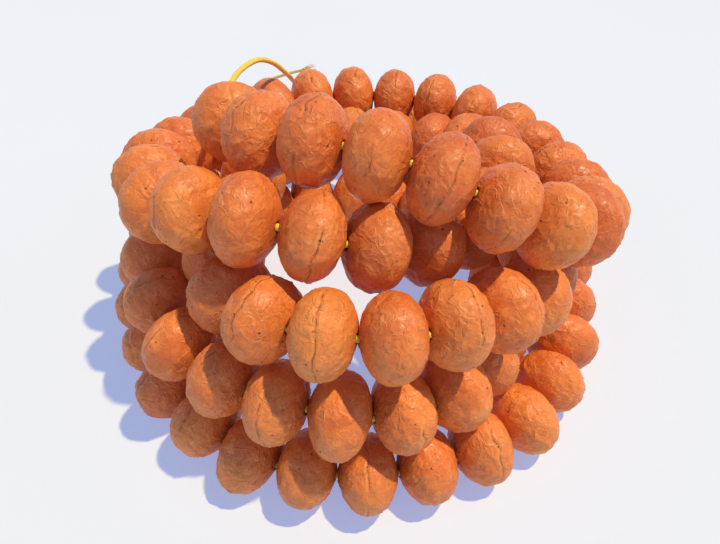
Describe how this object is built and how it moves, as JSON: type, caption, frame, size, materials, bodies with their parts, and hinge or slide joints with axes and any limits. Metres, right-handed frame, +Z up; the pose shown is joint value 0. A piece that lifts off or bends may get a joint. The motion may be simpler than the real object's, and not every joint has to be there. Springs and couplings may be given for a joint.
{
  "type": "mala prayer beads",
  "caption": "Mala: a long string of bored, wrinkled round seeds on a yellow cord, laid down as a pile of loose turns, with the knotted cord end looping out on top.",
  "frame": {"origin": "centre of the pile's outline on the ground it lies on", "axes": "+Z up; -Y towards the open front, where the turns spread apart; +X to the right, as seen from the front"},
  "size_m": [0.1012, 0.1132, 0.0579],
  "materials": {
    "seed": "satin",
    "cord": "satin"
  },
  "bodies": {
    "mala": {"seeds_018_to_022": "seed", "seeds_031_to_044": "seed", "seeds_052_to_065": "seed", "seeds_073_to_089": "seed", "seeds_101_to_108": "seed", "cord_strung": "cord", "cord_loop": "cord", "cord_knot": "cord", "cord_tail": "cord", "cord_return": "cord"},
    "seed_001_body": {"seed_001": "seed"},
    "seed_002_body": {"seed_002": "seed"},
    "seed_003_body": {"seed_003": "seed"},
    "seed_004_body": {"seed_004": "seed"},
    "seed_005_body": {"seed_005": "seed"},
    "seed_006_body": {"seed_006": "seed"},
    "seed_007_body": {"seed_007": "seed"},
    "seed_008_body": {"seed_008": "seed"},
    "seed_009_body": {"seed_009": "seed"},
    "seed_010_body": {"seed_010": "seed"},
    "seed_011_body": {"seed_011": "seed"},
    "seed_012_body": {"seed_012": "seed"},
    "seed_013_body": {"seed_013": "seed"},
    "seed_014_body": {"seed_014": "seed"},
    "seed_015_body": {"seed_015": "seed"},
    "seed_016_body": {"seed_016": "seed"},
    "seed_017_body": {"seed_017": "seed"},
    "seed_023_body": {"seed_023": "seed"},
    "seed_024_body": {"seed_024": "seed"},
    "seed_025_body": {"seed_025": "seed"},
    "seed_026_body": {"seed_026": "seed"},
    "seed_027_body": {"seed_027": "seed"},
    "seed_028_body": {"seed_028": "seed"},
    "seed_029_body": {"seed_029": "seed"},
    "seed_030_body": {"seed_030": "seed"},
    "seed_045_body": {"seed_045": "seed"},
    "seed_046_body": {"seed_046": "seed"},
    "seed_047_body": {"seed_047": "seed"},
    "seed_048_body": {"seed_048": "seed"},
    "seed_049_body": {"seed_049": "seed"},
    "seed_050_body": {"seed_050": "seed"},
    "seed_051_body": {"seed_051": "seed"},
    "seed_066_body": {"seed_066": "seed"},
    "seed_067_body": {"seed_067": "seed"},
    "seed_068_body": {"seed_068": "seed"},
    "seed_069_body": {"seed_069": "seed"},
    "seed_070_body": {"seed_070": "seed"},
    "seed_071_body": {"seed_071": "seed"},
    "seed_072_body": {"seed_072": "seed"},
    "seed_090_body": {"seed_090": "seed"},
    "seed_091_body": {"seed_091": "seed"},
    "seed_092_body": {"seed_092": "seed"},
    "seed_093_body": {"seed_093": "seed"},
    "seed_094_body": {"seed_094": "seed"},
    "seed_095_body": {"seed_095": "seed"},
    "seed_096_body": {"seed_096": "seed"},
    "seed_097_body": {"seed_097": "seed"},
    "seed_098_body": {"seed_098": "seed"},
    "seed_099_body": {"seed_099": "seed"},
    "seed_100_body": {"seed_100": "seed"}
  },
  "joints": [
    {"name": "seed_001_turn", "type": "hinge", "parent": "mala", "child": "seed_001_body", "pos_m": [-0.02254, -0.00768, 0.04493], "axis": [0.4626, -0.8164, 0.3456], "continuous": true},
    {"name": "seed_002_turn", "type": "hinge", "parent": "mala", "child": "seed_002_body", "pos_m": [-0.01622, -0.01471, 0.04844], "axis": [0.7642, -0.5502, 0.3366], "continuous": true},
    {"name": "seed_003_turn", "type": "hinge", "parent": "mala", "child": "seed_003_body", "pos_m": [-0.0075, -0.01926, 0.05103], "axis": [0.9279, -0.3331, 0.1674], "continuous": true},
    {"name": "seed_004_turn", "type": "hinge", "parent": "mala", "child": "seed_004_body", "pos_m": [0.00227, -0.02222, 0.05164], "axis": [0.9692, -0.2409, -0.0505], "continuous": true},
    {"name": "seed_005_turn", "type": "hinge", "parent": "mala", "child": "seed_005_body", "pos_m": [0.01208, -0.02444, 0.04985], "axis": [0.9359, -0.1909, -0.2961], "continuous": true},
    {"name": "seed_006_turn", "type": "hinge", "parent": "mala", "child": "seed_006_body", "pos_m": [0.0215, -0.02554, 0.04602], "axis": [0.894, -0.0219, -0.4475], "continuous": true},
    {"name": "seed_007_turn", "type": "hinge", "parent": "mala", "child": "seed_007_body", "pos_m": [0.03017, -0.0237, 0.04122], "axis": [0.7886, 0.3787, -0.4845], "continuous": true},
    {"name": "seed_008_turn", "type": "hinge", "parent": "mala", "child": "seed_008_body", "pos_m": [0.03701, -0.01809, 0.0364], "axis": [0.54, 0.7103, -0.4515], "continuous": true},
    {"name": "seed_009_turn", "type": "hinge", "parent": "mala", "child": "seed_009_body", "pos_m": [0.04078, -0.00974, 0.03221], "axis": [0.191, 0.9119, -0.3633], "continuous": true},
    {"name": "seed_010_turn", "type": "hinge", "parent": "mala", "child": "seed_010_body", "pos_m": [0.04119, -0.00024, 0.02856], "axis": [-0.1117, 0.932, -0.3449], "continuous": true},
    {"name": "seed_011_turn", "type": "hinge", "parent": "mala", "child": "seed_011_body", "pos_m": [0.03926, 0.00936, 0.02548], "axis": [-0.2617, 0.9315, -0.2527], "continuous": true},
    {"name": "seed_012_turn", "type": "hinge", "parent": "mala", "child": "seed_012_body", "pos_m": [0.03662, 0.01909, 0.0235], "axis": [-0.2522, 0.9586, -0.1326], "continuous": true},
    {"name": "seed_013_turn", "type": "hinge", "parent": "mala", "child": "seed_013_body", "pos_m": [0.03223, 0.02814, 0.0224], "axis": [-0.599, 0.7968, -0.0795], "continuous": true},
    {"name": "seed_014_turn", "type": "hinge", "parent": "mala", "child": "seed_014_body", "pos_m": [0.02465, 0.03474, 0.02174], "axis": [-0.8728, 0.4856, -0.0489], "continuous": true},
    {"name": "seed_015_turn", "type": "hinge", "parent": "mala", "child": "seed_015_body", "pos_m": [0.01533, 0.03902, 0.02127], "axis": [-0.9375, 0.3453, -0.0425], "continuous": true},
    {"name": "seed_016_turn", "type": "hinge", "parent": "mala", "child": "seed_016_body", "pos_m": [0.00541, 0.04159, 0.021], "axis": [-0.9882, 0.153, -0.0092], "continuous": true},
    {"name": "seed_017_turn", "type": "hinge", "parent": "mala", "child": "seed_017_body", "pos_m": [-0.00473, 0.04133, 0.0209], "axis": [-0.9789, -0.2038, -0.0114], "continuous": true},
    {"name": "seed_023_turn", "type": "hinge", "parent": "mala", "child": "seed_023_body", "pos_m": [-0.03963, -0.00163, 0.03045], "axis": [0.0539, -0.9301, 0.3633], "continuous": true},
    {"name": "seed_024_turn", "type": "hinge", "parent": "mala", "child": "seed_024_body", "pos_m": [-0.03744, -0.01102, 0.03363], "axis": [0.373, -0.8926, 0.2533], "continuous": true},
    {"name": "seed_025_turn", "type": "hinge", "parent": "mala", "child": "seed_025_body", "pos_m": [-0.03258, -0.01932, 0.03698], "axis": [0.5697, -0.7189, 0.3982], "continuous": true},
    {"name": "seed_026_turn", "type": "hinge", "parent": "mala", "child": "seed_026_body", "pos_m": [-0.02556, -0.02552, 0.04093], "axis": [0.7932, -0.4847, 0.3686], "continuous": true},
    {"name": "seed_027_turn", "type": "hinge", "parent": "mala", "child": "seed_027_body", "pos_m": [-0.01652, -0.02934, 0.04326], "axis": [0.9628, -0.2572, 0.083], "continuous": true},
    {"name": "seed_028_turn", "type": "hinge", "parent": "mala", "child": "seed_028_body", "pos_m": [-0.00656, -0.03066, 0.04244], "axis": [0.9701, 0.0013, -0.2426], "continuous": true},
    {"name": "seed_029_turn", "type": "hinge", "parent": "mala", "child": "seed_029_body", "pos_m": [0.00297, -0.02894, 0.03943], "axis": [0.8795, 0.3312, -0.3418], "continuous": true},
    {"name": "seed_030_turn", "type": "hinge", "parent": "mala", "child": "seed_030_body", "pos_m": [0.01146, -0.02433, 0.03613], "axis": [0.7692, 0.5646, -0.2994], "continuous": true},
    {"name": "seed_045_turn", "type": "hinge", "parent": "mala", "child": "seed_045_body", "pos_m": [-0.01968, -0.03254, 0.03023], "axis": [0.4974, -0.8093, 0.3125], "continuous": true},
    {"name": "seed_046_turn", "type": "hinge", "parent": "mala", "child": "seed_046_body", "pos_m": [-0.01298, -0.03945, 0.0332], "axis": [0.8047, -0.5315, 0.2645], "continuous": true},
    {"name": "seed_047_turn", "type": "hinge", "parent": "mala", "child": "seed_047_body", "pos_m": [-0.0038, -0.04311, 0.03517], "axis": [0.9763, -0.1803, 0.1196], "continuous": true},
    {"name": "seed_048_turn", "type": "hinge", "parent": "mala", "child": "seed_048_body", "pos_m": [0.00626, -0.04303, 0.03549], "axis": [0.9789, 0.1959, -0.0586], "continuous": true},
    {"name": "seed_049_turn", "type": "hinge", "parent": "mala", "child": "seed_049_body", "pos_m": [0.01549, -0.03925, 0.03404], "axis": [0.8119, 0.5392, -0.2236], "continuous": true},
    {"name": "seed_050_turn", "type": "hinge", "parent": "mala", "child": "seed_050_body", "pos_m": [0.0232, -0.03325, 0.03095], "axis": [0.6847, 0.6245, -0.3757], "continuous": true},
    {"name": "seed_051_turn", "type": "hinge", "parent": "mala", "child": "seed_051_body", "pos_m": [0.02948, -0.02631, 0.02677], "axis": [0.5362, 0.7231, -0.4354], "continuous": true},
    {"name": "seed_066_turn", "type": "hinge", "parent": "mala", "child": "seed_066_body", "pos_m": [-0.0281, -0.03511, 0.01964], "axis": [0.71, -0.7038, -0.022], "continuous": true},
    {"name": "seed_067_turn", "type": "hinge", "parent": "mala", "child": "seed_067_body", "pos_m": [-0.02021, -0.04165, 0.0198], "axis": [0.8235, -0.565, 0.0511], "continuous": true},
    {"name": "seed_068_turn", "type": "hinge", "parent": "mala", "child": "seed_068_body", "pos_m": [-0.01101, -0.04586, 0.02056], "axis": [0.9623, -0.2536, 0.0981], "continuous": true},
    {"name": "seed_069_turn", "type": "hinge", "parent": "mala", "child": "seed_069_body", "pos_m": [-0.00094, -0.04729, 0.02053], "axis": [0.9943, -0.0238, -0.1038], "continuous": true},
    {"name": "seed_070_turn", "type": "hinge", "parent": "mala", "child": "seed_070_body", "pos_m": [0.00896, -0.04558, 0.01942], "axis": [0.928, 0.3552, -0.112], "continuous": true},
    {"name": "seed_071_turn", "type": "hinge", "parent": "mala", "child": "seed_071_body", "pos_m": [0.01735, -0.0402, 0.01793], "axis": [0.7023, 0.6893, -0.1782], "continuous": true},
    {"name": "seed_072_turn", "type": "hinge", "parent": "mala", "child": "seed_072_body", "pos_m": [0.02278, -0.03199, 0.01582], "axis": [0.3524, 0.9071, -0.2304], "continuous": true},
    {"name": "seed_090_turn", "type": "hinge", "parent": "mala", "child": "seed_090_body", "pos_m": [-0.03732, -0.02636, 0.00625], "axis": [0.4371, -0.8994, 0], "continuous": true},
    {"name": "seed_091_turn", "type": "hinge", "parent": "mala", "child": "seed_091_body", "pos_m": [-0.03195, -0.03509, 0.00625], "axis": [0.6067, -0.7949, 0], "continuous": true},
    {"name": "seed_092_turn", "type": "hinge", "parent": "mala", "child": "seed_092_body", "pos_m": [-0.02477, -0.04238, 0.00625], "axis": [0.7852, -0.6193, 0], "continuous": true},
    {"name": "seed_093_turn", "type": "hinge", "parent": "mala", "child": "seed_093_body", "pos_m": [-0.01597, -0.04754, 0.00625], "axis": [0.9238, -0.3828, 0], "continuous": true},
    {"name": "seed_094_turn", "type": "hinge", "parent": "mala", "child": "seed_094_body", "pos_m": [-0.00609, -0.05009, 0.00625], "axis": [0.9937, -0.1123, 0], "continuous": true},
    {"name": "seed_095_turn", "type": "hinge", "parent": "mala", "child": "seed_095_body", "pos_m": [0.00414, -0.05005, 0.00625], "axis": [0.9927, 0.1202, 0], "continuous": true},
    {"name": "seed_096_turn", "type": "hinge", "parent": "mala", "child": "seed_096_body", "pos_m": [0.01416, -0.04785, 0.00625], "axis": [0.952, 0.3062, 0], "continuous": true},
    {"name": "seed_097_turn", "type": "hinge", "parent": "mala", "child": "seed_097_body", "pos_m": [0.02349, -0.04364, 0.00625], "axis": [0.8587, 0.5124, 0], "continuous": true},
    {"name": "seed_098_turn", "type": "hinge", "parent": "mala", "child": "seed_098_body", "pos_m": [0.03158, -0.03738, 0.00625], "axis": [0.7117, 0.7025, 0], "continuous": true},
    {"name": "seed_099_turn", "type": "hinge", "parent": "mala", "child": "seed_099_body", "pos_m": [0.03768, -0.02922, 0.00625], "axis": [0.473, 0.8811, 0], "continuous": true},
    {"name": "seed_100_turn", "type": "hinge", "parent": "mala", "child": "seed_100_body", "pos_m": [0.04137, -0.01968, 0.00625], "axis": [0.2425, 0.9702, 0], "continuous": true}
  ]
}
